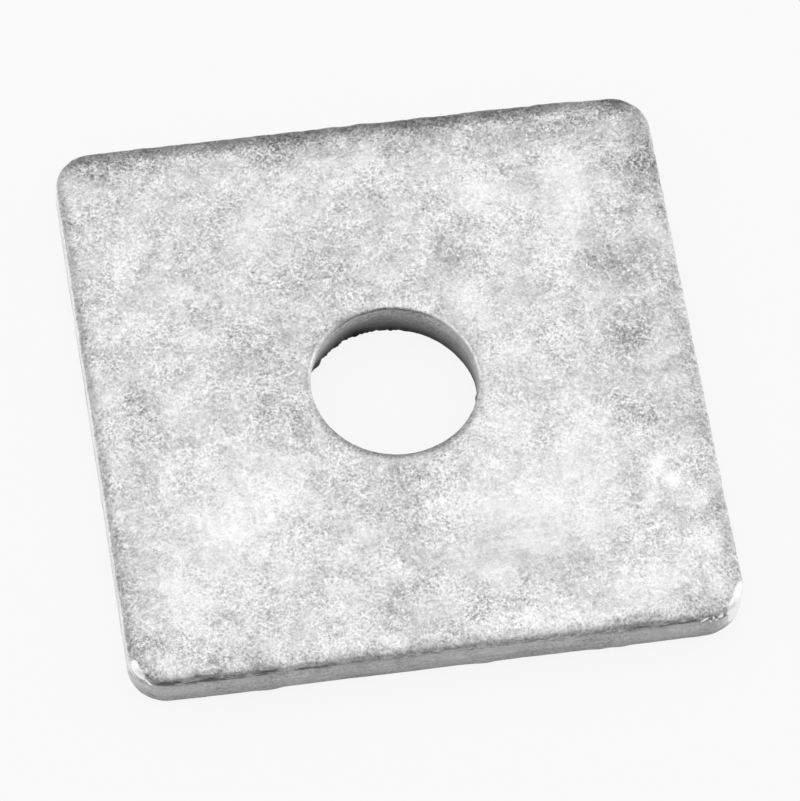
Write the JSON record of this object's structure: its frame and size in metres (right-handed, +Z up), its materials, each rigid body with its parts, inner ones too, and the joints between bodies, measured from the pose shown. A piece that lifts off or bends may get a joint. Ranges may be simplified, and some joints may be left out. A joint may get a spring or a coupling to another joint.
{
  "type": "square plate washer",
  "caption": "Square steel plate washer with rounded corners, rolled upper edges and a central clearance hole that spreads a bolt's load, hot-dip galvanised.",
  "frame": {"origin": "centre of the square lower face, on the axis of the bolt hole", "axes": "+Z up along the bolt hole, out of the face with the rolled edges; +X and +Y parallel to the sides"},
  "size_m": [0.04, 0.04, 0.0031],
  "materials": {
    "galvanised_steel": "hot-dip galvanised zinc on mild steel, matt and mottled grey"
  },
  "bodies": {
    "root": {"plate_washer": "galvanised_steel"}
  },
  "joints": []
}
